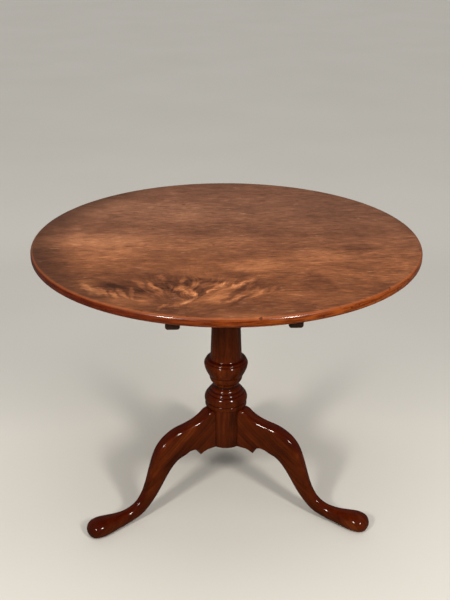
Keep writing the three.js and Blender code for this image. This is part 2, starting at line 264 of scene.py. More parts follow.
# Rows of tufts in the plume: foot of the first and of the last, how many, their leans in degrees, then
# length, half width and strength of each
TUFT_ROWS = [
    ((-290, -322), (-205, -345), 6, (112, 104), 46, 5, 0.95),
    ((-182, -298), (-152, -310), 2, (110, 114), 44, 4, 0.90),
    ((-112, -308), (-82, -336), 3, (130, 118), 36, 7, 0.85),
    ((-80, -350), (-84, -302), 2, (90, 62), 50, 5, 0.95),
    ((-106, -266), (-136, -262), 2, (74, 128), 26, 5, 0.75),
    ((-60, -330), (2, -306), 4, (52, 42), 66, 5, 0.80),
    ((-18, -380), (28, -360), 2, (48, 36), 64, 5, 0.70),
    ((-150, -408), (-105, -380), 3, (52, 28), 38, 5, 0.60),
    ((-275, -310), (-275, -310), 1, (150,), 60, 22, 0.45),
    ((-55, -365), (-55, -365), 1, (10,), 60, 20, 0.45),
]
SHADOW_ROWS = [
    ((-170, -335), (-170, -335), 1, (142,), 80, 20, 1.00),
    ((-240, -295), (-240, -295), 1, (145,), 60, 11, 0.80),
    ((-130, -308), (-130, -308), 1, (122,), 50, 12, 0.90),
    ((-68, -332), (-92, -292), 2, (92, 80), 50, 8, 0.80),
    ((-75, -358), (-115, -364), 2, (160, 175), 40, 10, 0.80),
    ((-18, -368), (-2, -386), 2, (55, 44), 80, 6, 0.95),
    ((-66, -263), (-20, -232), 2, (4, 0), 45, 14, 0.60),
    ((-155, -414), (66, -226), 2, (4, 20), 55, 9, 0.50),
]
KNOTS = [(-102, 257, 6), (-176, 67, 5), (200, 278, 6), (-32, -48, 4)]


def patches(finish, x, y, places):
    """How far each point lies inside soft oval patches, added together."""
    total = 0.0
    for middle_x, middle_y, half_length, half_width, strength in places:
        across = (x - middle_x * MM) / (half_length * MM)
        along = (y - middle_y * MM) / (half_width * MM)
        total = total + finish.rise(across * across + along * along, 1.6, 0.0) * strength
    return total


def tufts(finish, x, y, rows):
    """How far each point lies inside uneven rows of long thin leaning ovals, added together."""
    chance = random.Random(TUFT_SEED)
    total = 0.0
    for first, last, count, leans, length, half_width, strength in rows:
        for step in range(count):
            share = step / max(count - 1, 1)
            lean = math.radians(leans[0] + (leans[-1] - leans[0]) * share + chance.uniform(-12, 12))
            run = Vector((math.cos(lean), math.sin(lean)))
            foot = Vector(first).lerp(Vector(last), share) + run * chance.uniform(-7, 7)
            grown = length * chance.uniform(0.65, 1.2)
            middle = (foot + run * grown / 2) * MM
            off_x, off_y = x - middle.x, y - middle.y
            reach = (grown * 0.62 + half_width) * MM
            spread = half_width * chance.uniform(1.1, 2.0) * MM
            along = off_x * (run.x / reach) + off_y * (run.y / reach)
            across = off_y * (run.x / spread) - off_x * (run.y / spread)
            inside = finish.rise(along * along + across * across, 1.3, 0.0)
            total = total + inside * (strength * chance.uniform(0.7, 1.1))
    return total


def board_mahogany():
    finish = Finish("board_mahogany")
    wavering = finish.stirred(finish.place, (0.05, 0.05, 0.0), 5.0, 3.0)
    x, y = finish.parts(finish.turned_place(location=(-0.025, -0.025, 0), place=wavering), "XY")
    flat_x, flat_y, flat_z = finish.parts(finish.place)

    # Grain lines run straight along x, but at the front they fan out of the plume root and flatten as they go
    swirl_x, swirl_y = finish.parts(finish.stirred(finish.place, (0.13, 0.08, 0.0), 9.0, 2.0), "XY")
    dx = swirl_x - (PLUME_ROOT.x + 0.065)
    dy = swirl_y - (PLUME_ROOT.y + 0.04)
    reach = (dx * dx + dy * dy) ** 0.5
    sideways = (dx * dx) ** 0.5 / PLUME_SPREAD
    line = finish.node("Math", {"operation": "ARCTAN2"}, {0: dy / PLUME_SPREAD, 1: sideways ** 0.8})
    in_plume = finish.rise(reach, 0.42, 0.16)

    wide_bands = finish.noise(finish.joined(x * 2.4, y * 10.0), 1.0, 3.0, 0.55)
    long_grain = finish.noise(finish.joined(x * 7.0, y * 52.0), 1.0, 3.0, 0.6)
    fine_grain = finish.noise(finish.joined(x * 24.0, y * 230.0), 1.0, 4.0, 0.65)
    cloud = finish.noise(finish.place, 6.0, 5.0, 0.62)
    mottle = finish.noise(finish.turned_place(scale=(1.0, 1.7, 1.0)), 30.0, 4.0, 0.65)
    pores = finish.noise(finish.joined(x * 60.0, y * 700.0), 1.0, 2.0, 0.5)

    # Flame strokes of the plume, broken into tufts
    strokes = finish.noise(finish.joined(line * 15.0, reach * 13.0, dx * 9.0), 1.0, 3.0, 0.55, 0.6)
    feather = finish.noise(finish.joined(line * 48.0, reach * 34.0, 3.0), 1.0, 3.0, 0.6, 0.3)
    broken = finish.rise(finish.noise(finish.place, 17.0, 2.0), 0.38, 0.60)
    heart = patches(finish, flat_x, flat_y, PLUME_HEART)
    plume = in_plume * 0.35 + heart * (broken * 0.7 + 0.3)
    flame = finish.rise(strokes * 0.62 + feather * 0.38, 0.41, 0.60)
    dashes = finish.noise(finish.joined(x * 42.0, y * 330.0, 5.0), 1.0, 3.0, 0.6)
    straight = (
        (wide_bands - 0.5) * 0.30
        + (long_grain - 0.5) * 0.34
        + (fine_grain - 0.5) * 0.85
        + (finish.rise(dashes, 0.38, 0.62) - 0.5) * 0.16
    )
    ruffled = finish.stirred(finish.place, (0.030, 0.030, 0.0), 34.0, 4.0, 0.62)
    ruffled_x, ruffled_y = finish.parts(ruffled, "XY")
    tuft_x, tuft_y = ruffled_x - 0.015, ruffled_y - 0.015
    bright_tufts = tufts(finish, tuft_x, tuft_y, TUFT_ROWS) * (feather * 0.8 + 0.6)
    dark_ground = tufts(finish, tuft_x, tuft_y, SHADOW_ROWS)
    light = (
        straight * (1.0 - in_plume * 0.45)
        + (cloud - 0.5) * 0.50
        + (mottle - 0.5) * 0.42
        + patches(finish, x, y, PALE_PATCHES) * 0.20
        - patches(finish, x, y, DARK_PATCHES) * 0.20
        - patches(finish, flat_x, flat_y, PLUME_HEART) * 0.10
        + (flame - 0.42) * plume * 0.22
        + bright_tufts * 0.34
        - dark_ground * 0.26
        + 0.49
    )
    # Towards the rear the board is painted greyer: a painted reflection of the pale wall
    rear = finish.rise(flat_y, -0.30, 0.25)
    warm = finish.graded(light, [
        (0.0, colour(56, 28, 16)),
        (0.30, colour(96, 54, 32)),
        (0.55, colour(133, 79, 47)),
        (0.80, colour(176, 110, 67)),
        (1.0, colour(208, 138, 90)),
    ])
    painted_wall_sheen = finish.graded(light, [
        (0.0, colour(66, 38, 26)),
        (0.30, colour(98, 62, 44)),
        (0.55, colour(124, 80, 58)),
        (0.80, colour(152, 102, 74)),
        (1.0, colour(178, 126, 92)),
    ])
    body = finish.mix(rear, warm, painted_wall_sheen)
    pore = finish.rise(pores, 0.60, 0.70) * 0.55
    body = finish.mix(pore, body, colour(60, 32, 20))
    for knot_x, knot_y, radius in KNOTS:
        off_x = (flat_x - knot_x * MM) / (radius * MM)
        off_y = (flat_y - knot_y * MM) / (radius * MM)
        spot = finish.rise(off_x * off_x + off_y * off_y, 1.0, 0.2)
        body = finish.mix(spot * 0.55, body, colour(60, 34, 26))

    # Short pale scuffs, and painted shade darkening the rim towards the left
    scuffs = finish.noise(finish.joined(x * 34.0, y * 150.0, 7.0), 1.0, 2.0)
    scuffed = finish.rise(finish.noise(finish.place, 13.0, 3.0), 0.48, 0.66)
    body = finish.mix(finish.rise(scuffs, 0.60, 0.74) * scuffed * 0.38, body, colour(206, 158, 118))
    from_middle = (flat_x * flat_x + flat_y * flat_y) ** 0.5
    rim_shade = finish.rise(from_middle, 0.355, 0.452)
    left = finish.rise(flat_x, -0.12, -0.34)
    body = finish.mix(rim_shade * left * 0.62, body, colour(56, 33, 24))

    # The polished edge is redder, deeper in colour on the left than on the right
    edge = finish.rise(flat_z, BOARD_HIGH.z - 1.0 * MM, BOARD_HIGH.z - 4.0 * MM)
    rim = finish.rise(from_middle, BOARD_HIGH.x - 30 * MM, BOARD_HIGH.x - 7 * MM)
    rim_dirt = finish.noise(finish.place, 7.0, 3.0)
    body = finish.mix(rim * finish.rise(rim_dirt, 0.42, 0.62) * 0.35, body, colour(74, 40, 26))
    edge_grain = finish.noise(finish.turned_place(scale=(1.0, 1.0, 14.0)), 26.0, 3.0, 0.6)
    edge_right = finish.rise(flat_x, -0.35, 0.30)
    edge_deep = finish.mix(edge_right, colour(62, 14, 0), colour(90, 34, 4))
    edge_pale = finish.mix(edge_right, colour(94, 30, 4), colour(138, 66, 16))
    edge_body = finish.mix(finish.rise(edge_grain, 0.34, 0.66), edge_deep, edge_pale)
    body = finish.mix(edge, body, edge_body)
    arris = finish.rise(from_middle, BOARD_HIGH.x - 12 * MM, BOARD_HIGH.x - 5 * MM)
    rubbed = finish.rise(from_middle, BOARD_HIGH.x - 6.5 * MM, BOARD_HIGH.x - 4.0 * MM)
    rubbed = rubbed * finish.rise(flat_z, BOARD_HIGH.z - 5.0 * MM, BOARD_HIGH.z - 2.0 * MM)
    body = finish.mix(rubbed * 0.40, body, colour(150, 78, 40))
    nicks = finish.rise(finish.noise(finish.place, 95.0, 2.0), 0.66, 0.70) * arris
    body = finish.mix(nicks * 0.7, body, colour(48, 18, 8))
    under = finish.rise(flat_z, BOARD_LOW.z + 2.5 * MM, BOARD_LOW.z + 0.5 * MM)
    raw = finish.mix(fine_grain, colour(62, 38, 24), colour(96, 62, 40))
    body = finish.mix(under, body, raw)

    worn = finish.noise(finish.place, 11.0, 5.0, 0.7)
    gloss = finish.rise(worn, 0.30, 0.72, 0.36, 0.52) - rim * 0.08 - edge * 0.06 + under * 0.3
    normal = finish.bump(pores * -0.5 + fine_grain * 0.5, 0.12 * MM, 0.6)
    ripple = finish.noise(finish.place, 6.0, 2.0)
    normal = finish.bump(ripple, 0.9 * MM, 0.5, normal)
    return finish.surface(
        Base_Color=body,
        Roughness=gloss,
        Normal=normal,
        Coat_Weight=0.06 + arris * 0.26 - under * 0.06,
        Coat_Roughness=0.06,
        Specular_IOR_Level=0.22,
    )


def stand_mahogany(name, place, beside_drum=0.0):
    """Dark polished mahogany with its grain along x of the given place. Legs get painted shade beside the
    drum.
    """
    finish = Finish(name)
    along = place(finish)
    wavering = finish.stirred(along, (0.0, 0.02, 0.02), 6.0, 2.0)
    bands = finish.noise(finish.turned_place(scale=(2.5, 22.0, 22.0), place=wavering), 1.0, 3.0, 0.6)
    streaks = finish.noise(finish.turned_place(scale=(7.0, 130.0, 130.0), place=wavering), 1.0, 4.0, 0.65)
    pores = finish.noise(finish.turned_place(scale=(60.0, 620.0, 620.0), place=wavering), 1.0, 2.0)
    cloud = finish.noise(finish.place, 9.0, 3.0, 0.6)
    light = (bands - 0.5) * 0.9 + (streaks - 0.5) * 0.7 + (cloud - 0.5) * 0.7 + 0.5
    body = finish.graded(light, [
        (0.0, colour(22, 5, 0)),
        (0.35, colour(50, 15, 1)),
        (0.6, colour(74, 27, 4)),
        (1.0, colour(114, 52, 14)),
    ])
    body = finish.mix(finish.rise(pores, 0.60, 0.72) * 0.5, body, colour(28, 9, 5))
    # Painted shade darkens the turned quirks and the legs beside the drum
    x, y, z = finish.parts(finish.place)
    painted_shade = 0.0
    for height, half_width in QUIRKS:
        off = (z - height * MM) / (half_width * MM)
        painted_shade = painted_shade + finish.rise(off * off, 1.0, 0.0)
    joint = ((x * x + y * y) ** 0.5 - DRUM_RADIUS * MM) / (3.0 * MM)
    painted_shade = painted_shade + finish.rise(joint * joint, 1.0, 0.1) * beside_drum
    body = finish.mix(painted_shade * 0.75, body, colour(14, 5, 3))
    # Painted shade: faces that look up are painted darker and redder
    facing = finish.parts(finish.node("NewGeometry", output="Normal"), "Z")[0]
    body = finish.mix(finish.rise(facing, 0.1, 0.75) * 0.5, body, colour(64, 10, 3))
    gloss = finish.rise(finish.noise(finish.place, 30.0, 4.0, 0.7), 0.3, 0.7, 0.12, 0.26)
    normal = finish.bump(streaks * 0.6 - pores * 0.4, 0.10 * MM, 0.5)
    normal = finish.bump(finish.noise(finish.place, 26.0, 2.0), 0.5 * MM, 0.25, normal)
    return finish.surface(
        Base_Color=body,
        Roughness=gloss,
        Normal=normal,
        Coat_Weight=0.42,
        Coat_Roughness=0.08,
        Specular_IOR_Level=0.03,
    )


DRUM_RADIUS = 48
# Height and half width in mm of the quirks between the turned rings
QUIRKS = [
    (260, 1.6),
    (272, 1.4),
    (295.8, 1.8),
    (303.8, 2.2),
    (316, 5.0),
    (346, 2.2),
    (385.4, 1.6),
    (391.5, 2.0),
]


def pillar_grain(finish):
    return finish.turned_place(rotation=(0, math.radians(90), 0))


def leg_grain(azimuth):
    """The board each leg is sawn from has its grain along the chord from knee to ankle."""
    def place(finish):
        level = finish.turned_place(rotation=(0, 0, -math.radians(azimuth)))
        return finish.turned_place(rotation=(0, math.radians(-40), 0), place=level)
    return place


def plain_wood(name, dark, pale, grain_scale, roughness):
    """Unpolished wood of the hidden pieces, with its grain along the larger cells of grain_scale."""
    finish = Finish(name)
    grain = finish.noise(finish.turned_place(scale=grain_scale), 1.0, 4.0, 0.65)
    cloud = finish.noise(finish.place, 12.0, 3.0)
    body = finish.mix(finish.rise(grain * 0.7 + cloud * 0.3, 0.3, 0.7), dark, pale)
    gloss = finish.rise(cloud, 0.3, 0.7, roughness - 0.08, roughness + 0.08)
    normal = finish.bump(grain, 0.15 * MM, 0.6)
    return finish.surface(Base_Color=body, Roughness=gloss, Normal=normal, Specular_IOR_Level=0.25)


def worn_metal(name, deep, bright, roughness, tarnish):
    """Metal with tarnish in patches, fine scratches and bright rubbed arrises."""
    finish = Finish(name)
    patch = finish.noise(finish.place, 60.0, 4.0, 0.65)
    speck = finish.noise(finish.place, 420.0, 3.0, 0.6)
    scratch = finish.noise(finish.turned_place(scale=(60.0, 900.0, 900.0)), 1.0, 2.0)
    rubbed = finish.rise(finish.node("NewGeometry", output="Pointiness"), 0.52, 0.60)
    dull = finish.rise(patch * 0.7 + speck * 0.3, 0.62 - tarnish, 0.66) * (1.0 - rubbed * 0.8)
    body = finish.mix(dull, bright, deep)
    gloss = dull * 0.25 + scratch * 0.12 + roughness
    normal = finish.bump(speck * 0.5 + scratch * 0.5, 0.05 * MM, 0.6)
    return finish.surface(Base_Color=body, Roughness=gloss, Normal=normal, Metallic=1.0 - dull * 0.45)


FINISHES = {
    "board": board_mahogany(),
    "pillar": stand_mahogany("pillar_mahogany", pillar_grain),
    "bearer": plain_wood("bearer_mahogany", colour(30, 15, 9), colour(70, 38, 23), (90.0, 5.0, 90.0), 0.5),
    "block": plain_wood("block_oak", colour(56, 35, 22), colour(104, 70, 44), (5.0, 80.0, 80.0), 0.68),
    "brass": worn_metal("aged_brass", colour(84, 62, 34), colour(190, 148, 84), 0.24, 0.2),
    "iron": worn_metal("wrought_iron", colour(34, 26, 22), colour(86, 80, 76), 0.42, 0.3),
    "screw": worn_metal("screw_iron", colour(42, 34, 28), colour(110, 104, 98), 0.38, 0.25),
    "spring": worn_metal("spring_steel", colour(58, 54, 52), colour(150, 148, 146), 0.28, 0.1),
}
for leg, azimuth in LEG_AZIMUTHS.items():
    FINISHES[leg] = stand_mahogany(f"{leg}_mahogany", leg_grain(azimuth), beside_drum=0.6)


# Modelling helpers

def deselect():
    bpy.ops.object.select_all(action="DESELECT")


def edit(select="VERT"):
    bpy.ops.object.mode_set(mode="EDIT")
    bpy.ops.mesh.select_mode(type=select)
    bpy.ops.mesh.select_all(action="SELECT")


def leave_edit():
    bpy.ops.object.mode_set(mode="OBJECT")


def choose(kind, test):
    """In edit mode, selects only the edges or faces whose middle and normal pass the test."""
    bpy.ops.mesh.select_mode(type=kind)
    bpy.ops.mesh.select_all(action="DESELECT")
    mesh = bmesh.from_edit_mesh(bpy.context.edit_object.data)
    if kind == "FACE":
        for face in mesh.faces:
            face.select_set(test(face.calc_center_median(), face.normal))
    else:
        for edge in mesh.edges:
            a, b = (corner.co for corner in edge.verts)
            edge.select_set(test((a + b) / 2, b - a))
    bmesh.update_edit_mesh(bpy.context.edit_object.data)


def modify(piece, kind, **settings):
    """Adds a modifier to the piece and applies it."""
    deselect()
    piece.select_set(True)
    bpy.context.view_layer.objects.active = piece
    modifier = piece.modifiers.new(kind.title(), kind)
    for name, value in settings.items():
        setattr(modifier, name, value)
    bpy.ops.object.modifier_apply(modifier=modifier.name)


def combine(piece, other, operation="DIFFERENCE"):
    """Cuts the other solid out of the piece, or joins it on, and removes the other."""
    modify(piece, "BOOLEAN", operation=operation, solver="EXACT", object=other)
    bpy.data.objects.remove(other)


def ease(piece, width, segments=2, angle=30):
    """Rounds every arris sharper than the angle."""
    modify(piece, "BEVEL", width=width, segments=segments, limit_method="ANGLE",
           angle_limit=math.radians(angle), harden_normals=False)


def copy_of(piece):
    twin = piece.copy()
    twin.data = piece.data.copy()
    bpy.context.scene.collection.objects.link(twin)
    return twin


def settle():
    """Applies the active object's place, turn and scale to its mesh."""
    bpy.ops.object.transform_apply(location=True, rotation=True, scale=True)
    return bpy.context.object


def place_at(piece, location=(0, 0, 0), rotation=(0, 0, 0)):
    deselect()
    piece.select_set(True)
    bpy.context.view_layer.objects.active = piece
    piece.location = location
    piece.rotation_euler = rotation
    return settle()


def bar(low, high):
    """A squared bar between two corners, ready to be shaped."""
    deselect()
    low, high = Vector(low), Vector(high)
    bpy.ops.mesh.primitive_cube_add(size=1, location=(low + high) / 2, scale=high - low)
    return settle()


def rod(radius, depth, location, rotation=(0, 0, 0), vertices=48):
    deselect()
    bpy.ops.mesh.primitive_cylinder_add(
        radius=radius, depth=depth, location=location, rotation=rotation, vertices=vertices)
    return settle()


def draw(points):
    """Draws a line through the points, corner by corner, and stays in edit mode."""
    deselect()
    bpy.ops.mesh.primitive_plane_add(size=MM, location=points[0])
    settle()
    edit()
    bpy.ops.mesh.merge(type="CENTER")
    for start, end in pairwise(points):
        bpy.ops.mesh.extrude_vertices_move(TRANSFORM_OT_translate={"value": Vector(end) - Vector(start)})
    bpy.ops.mesh.select_all(action="SELECT")


def face_outward():
    bpy.ops.mesh.select_all(action="SELECT")
    bpy.ops.mesh.normals_make_consistent(inside=False)


def sawn(points, run):
    """A board sawn to an outline: the points in turn, pushed along the run."""
    draw(points)
    bpy.ops.mesh.edge_face_add()
    bpy.ops.mesh.extrude_region_move(TRANSFORM_OT_translate={"value": Vector(run)})
    face_outward()
    leave_edit()
    return bpy.context.object


def turned(outline, steps):
    """Work turned about the z axis from an outline of (radius, height) that starts and ends on the axis."""
    draw([Vector((radius, 0, height)) for radius, height in outline])
    bpy.ops.mesh.spin(steps=steps, angle=FULL_TURN, center=(0, 0, 0), axis=(0, 0, 1))
    bpy.ops.mesh.select_all(action="SELECT")
    bpy.ops.mesh.remove_doubles(threshold=0.001 * MM)
    face_outward()
    leave_edit()
    return bpy.context.object


def bezier(handles, share):
    while len(handles) > 1:
        handles = [a.lerp(b, share) for a, b in pairwise(handles)]
    return handles[0]


def follow(start, runs, steps=10):
    """Points along runs: one point is a straight run, two or three are a curve's handles and end."""
    points = [Vector(start)]
    for run in runs:
        handles = [points[-1], *(Vector(point) for point in run)]
        count = 1 if len(run) == 1 else steps
        points += [bezier(handles, (i + 1) / count) for i in range(count)]
    return points


def hand_in(piece, name, body, nodes, finish, smooth=32):
    """Names the piece, gives it its finish and hangs it on its body in place of its CAD nodes."""
    place_at(piece)
    bpy.ops.object.shade_smooth_by_angle(angle=math.radians(smooth))
    piece.name = name
    piece.data.name = name
    piece.data.materials.clear()
    piece.data.materials.append(FINISHES[finish])
    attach(piece, body)
    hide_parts(*nodes)
    return piece


# Screws: a countersunk head, a shank and a point, with a slot sawn across the head

SCREWS = {
    "bearer": {"head": 5.0, "shank": 2.6, "length": 46.0},
    "plate": {"head": 4.0, "shank": 2.1, "length": 19.0},
    "catch": {"head": 3.2, "shank": 1.5, "length": 12.0},
    "keeper": {"head": 2.6, "shank": 1.3, "length": 11.0},
}
INTO_BLOCK = (math.radians(90), 0, 0)
ALONG_X = (0, math.radians(90), 0)


def screw_outline(head, shank, length, margin=0.0):
    mouth = -head if margin else 0.0
    return [mm(*point) for point in [
        (0, mouth),
        (head + margin, mouth),
        (head + margin, margin),
        (shank + margin, head - shank + margin),
        (shank + margin, length - 2 * shank),
        (margin or 0.2, length + margin),
        (0, length + margin),
    ]]


def screw_places():
    """Each screw's node, kind, body, place and turn, from the boxes of the frame."""
    places = []
    for node in sorted(frame["nodes"]):
        if "_screw_" not in node:
            continue
        kind = node.split("_screw_")[0]
        low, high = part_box(node)
        middle = (low + high) / 2
        if kind == "keeper":
            places.append((node, kind, "base", Vector((middle.x, high.y, middle.z)), INTO_BLOCK))
        else:
            body = "base" if kind == "plate" else "top"
            places.append((node, kind, body, Vector((middle.x, middle.y, low.z)), (0, 0, 0)))
    return places


SCREW_PLACES = screw_places()


def screw_holes(kind, test=lambda place: True):
    """Clearance holes for the screws of one kind whose place passes the test, as one cutter."""
    pattern = turned(screw_outline(**SCREWS[kind], margin=CLEARANCE), 24)
    holes = []
    for _, screw_kind, _, place, turn in SCREW_PLACES:
        if screw_kind == kind and test(place):
            holes.append(place_at(copy_of(pattern), place, turn))
    bpy.data.objects.remove(pattern)
    deselect()
    for hole in holes:
        hole.select_set(True)
    bpy.context.view_layer.objects.active = holes[0]
    bpy.ops.object.join()
    return bpy.context.object


def make_screws():
    for kind, sizes in SCREWS.items():
        pattern = turned(screw_outline(**sizes), 32)
        head = sizes["head"]
        half_slot = 0.45
        combine(pattern, bar(mm(-head - 1, -half_slot, -1), mm(head + 1, half_slot, head * 0.3)))
        ease(pattern, 0.12 * MM)
        for index, (node, screw_kind, body, place, turn) in enumerate(SCREW_PLACES):
            if screw_kind != kind:
                continue
            screw = copy_of(pattern)
            if kind != "keeper":
                turn = (0, 0, math.radians(37 * index))
            place_at(screw, place, turn)
            hand_in(screw, f"{node}_turned", body, [node], "screw")
        bpy.data.objects.remove(pattern)


# Board

UPPER_ROUND = 8 * MM
LOWER_ROUND = 5 * MM


def make_board():
    thickness = BOARD_HIGH.z - BOARD_LOW.z
    middle = Vector((0, 0, (BOARD_HIGH.z + BOARD_LOW.z) / 2))
    board = rod(BOARD_HIGH.x, thickness, middle, vertices=240)
    edit()
    for height, offset in ((BOARD_HIGH.z, UPPER_ROUND), (BOARD_LOW.z, LOWER_ROUND)):
        choose("EDGE", lambda place, run: abs(place.z - height) < MM and place.xy.length > 0.4)
        bpy.ops.mesh.bevel(offset=offset, segments=7, profile=0.5)
    for height in (BOARD_HIGH.z, BOARD_LOW.z):
        choose("FACE", lambda place, normal: abs(place.z - height) < MM / 2 and place.xy.length < 0.1)
        bpy.ops.mesh.inset(thickness=6 * MM)
    leave_edit()
    combine(board, screw_holes("bearer"))
    combine(board, screw_holes("catch"))
    hand_in(board, "board", "top", ["top_board"], "board", smooth=40)


# Bearers

PINTLE_RADIUS = 10


def make_bearer(side):
    low, high = BEARERS[side]
    bearer = bar(low, high)
    edit()
    choose("EDGE", lambda place, run: place.z < low.z + MM and abs(run.y) > 0.1)
    bpy.ops.mesh.bevel(offset=6 * MM, segments=6, profile=0.5)
    leave_edit()
    ease(bearer, 0.8 * MM, 3)
    middle = ((low.x + high.x) / 2, HINGE_PLACE.y, HINGE_PLACE.z)
    combine(bearer, rod((PINTLE_RADIUS + CLEARANCE) * MM, 80 * MM, middle, ALONG_X))
    combine(bearer, screw_holes("bearer", lambda place: low.x < place.x < high.x))
    hand_in(bearer, f"bearer_{side}_rail", "top", [f"bearer_{side}"], "bearer")


# Block

WINDOW_HALF = 8
WINDOW_BOTTOM = 679
WINDOW_TOP = 686


def keeper_window(front, back):
    return bar((-WINDOW_HALF * MM, front, WINDOW_BOTTOM * MM), (WINDOW_HALF * MM, back, WINDOW_TOP * MM))


def make_block():
    back = BLOCK_HIGH.y
    half = BEARERS["right"][0].x - 0.5 * MM
    reach = BLOCK_HIGH.z - HINGE_PLACE.z
    arc = [
        Vector((-half, HINGE_PLACE.y - reach * math.sin(turn), HINGE_PLACE.z + reach * math.cos(turn)))
        for turn in (math.radians(90 * i / 16) for i in range(17))
    ]
    corners = [
        (-half, back, BLOCK_LOW.z),
        (-half, back, BLOCK_HIGH.z),
        *arc,
        (-half, BLOCK_LOW.y, BLOCK_LOW.z),
    ]
    block = sawn([Vector(corner) for corner in corners], (2 * half, 0, 0))
    ease(block, 0.7 * MM, 2, angle=50)
    pintles = rod(PINTLE_RADIUS * MM, BLOCK_HIGH.x - BLOCK_LOW.x, HINGE_PLACE, ALONG_X)
    combine(block, pintles, "UNION")
    depth = BLOCK_HIGH.z - BLOCK_LOW.z
    middle = (0, 0, (BLOCK_HIGH.z + BLOCK_LOW.z) / 2)
    combine(block, rod((TENON_RADIUS + CLEARANCE) * MM, depth + 4 * MM, middle, vertices=96))
    bed_low = KEEPER_LOW - Vector((GAP, GAP, GAP))
    combine(block, bar(bed_low, (KEEPER_HIGH.x + GAP, back + MM, BLOCK_HIGH.z + MM)))
    combine(block, keeper_window(84 * MM, back + MM))
    combine(block, screw_holes("keeper"))
    hand_in(block, "pivot_block", "base", ["block"], "block")


def make_wedges():
    for name in ("tenon_wedge_front", "tenon_wedge_back"):
        low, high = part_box(name)
        middle = (low.y + high.y) / 2
        foot = 0.5 * MM
        section = [
            (low.x, middle - foot, low.z),
            (low.x, middle + foot, low.z),
            (low.x, high.y, high.z),
            (low.x, low.y, high.z),
        ]
        wedge = sawn([Vector(corner) for corner in section], (high.x - low.x, 0, 0))
        ease(wedge, 0.2 * MM)
        hand_in(wedge, f"{name}_oak", "base", [name], "block")


# Pillar, in mm

DRUM_BOTTOM = 152
TENON_RADIUS = 22
TENON_TOP = 689.7
WEDGE_OFFSET = 8
KERF_LENGTH = 46
KERF_BOTTOM = 663.4
KERF_TOP = 690.2
# Radius and height, from the foot of the drum to the top of the tenon
PILLAR_START = (DRUM_RADIUS, DRUM_BOTTOM)
PILLAR_RUNS = [
    [(DRUM_RADIUS, 259.5)],
    [(53, 260.5)],
    [(53, 271.2)],
    [(51.8, 272)],
    [(56.2, 275), (55.8, 287), (47.2, 295.2)],
    [(45.8, 296)],
    [(44.8, 301), (40.2, 303.4)],
    [(39, 304)],
    [(37.6, 310.5), (32.2, 313)],
    [(31.2, 317)],
    [(31, 325.5), (36.5, 328)],
    [(41.5, 330.5), (42.6, 340), (41.4, 345)],
    [(44.6, 347)],
    [(49, 354), (54.4, 366), (55.3, 376.5)],
    [(55.3, 381), (52.6, 384)],
    [(51, 385.4)],
    [(51.4, 386.4)],
    [(50.6, 390.5), (43.5, 391.2)],
    [(40, 391.8), (39.4, 398)],
    [(38, 430), (36.6, 470)],
    [(31, 636)],
    [(31, 641), (34, 642)],
    [(38, 645), (34, 648)],
    [(34, 655.4)],
    [(TENON_RADIUS, 655.4)],
    [(TENON_RADIUS, TENON_TOP)],
]
TONGUE_TIP = 27.5
TONGUE_TOP = 236
TONGUE_REACH = 54
SOCKET_REACH = 58


def tongue(margin, reach, bottom):
    """The dovetail tongue of a leg that points along x, or its socket when grown by a margin."""
    def half_at(radius):
        return 10 - (radius - TONGUE_TIP) / 7 + margin
    tip = TONGUE_TIP - margin
    plan = [(tip, -half_at(tip)), (reach, -half_at(reach)), (reach, half_at(reach)), (tip, half_at(tip))]
    return sawn([mm(x, y, bottom) for x, y in plan], mm(0, 0, TONGUE_TOP + margin - bottom))


def make_pillar():
    outline = [Vector((0, DRUM_BOTTOM)), *follow(PILLAR_START, PILLAR_RUNS), Vector((0, TENON_TOP))]
    pillar = turned([point * MM for point in outline], 128)
    ease(pillar, 0.35 * MM, 2, angle=42)
    for azimuth in LEG_AZIMUTHS.values():
        socket = tongue(CLEARANCE, SOCKET_REACH, DRUM_BOTTOM - 1)
        combine(pillar, place_at(socket, rotation=(0, 0, math.radians(azimuth))))
    end = -KERF_LENGTH / 2
    narrow, wide = 0.8, 1.9
    for y in (-WEDGE_OFFSET, WEDGE_OFFSET):
        kerf = [
            (end, y - narrow, KERF_BOTTOM),
            (end, y + narrow, KERF_BOTTOM),
            (end, y + wide, KERF_TOP),
            (end, y - wide, KERF_TOP),
        ]
        combine(pillar, sawn([mm(*corner) for corner in kerf], mm(KERF_LENGTH, 0, 0)))
    combine(pillar, screw_holes("plate", lambda place: place.xy.length < 30 * MM))
    hand_in(pillar, "turned_pillar", "base", ["pillar"], "pillar", smooth=35)


# Legs, drawn with the leg pointing along x

# Upper x and z, lower x and z, half width in mm, and how much of each corner is round, from pillar to toe
LEG_STATIONS = [
    (36, 258, 36, 138, 21, 0.37),
    (58, 256, 58, 138, 21, 0.37),
    (72, 245.5, 72, 138, 21, 0.38),
    (92, 236.5, 86, 138, 21, 0.42),
    (118, 230.5, 102, 138, 21, 0.46),
    (150, 225, 116, 141, 21, 0.50),
    (182, 209.5, 130, 149, 20.5, 0.56),
    (205, 185, 146, 144.5, 20, 0.62),
    (219, 153, 162, 131, 19, 0.68),
    (229, 124, 178, 110, 17.5, 0.73),
    (237, 100, 192, 87, 16.2, 0.78),
    (248, 75, 211, 58, 15, 0.83),
    (261, 56, 231, 35, 14.5, 0.85),
    (275, 45.5, 250, 18.5, 14.6, 0.87),
    (289, 40, 271, 9.5, 15.2, 0.88),
    (305, 37, 295, 4, 17, 0.88),
    (324, 37, 321, 0.3, 20.5, 0.89),
    (345, 39.5, 346, -3, 25, 0.89),
    (366, 41.5, 370, -4, 28.5, 0.90),
    (384, 39, 389, -1.5, 26, 0.92),
    (394, 31, 397.5, 5, 19, 0.95),
    (399.5, 21, 401, 14, 7, 0.98),
]
RINGS_PER_STATION = 3
SCALLOP_START = (20, 152)
SCALLOP_RUNS = [
    [(68, 152)],
    [(79, 149.5), (87, 142)],
    [(91, 151)],
    [(97, 168), (122, 172), (141, 149)],
    [(141, 120)],
    [(20, 120)],
]


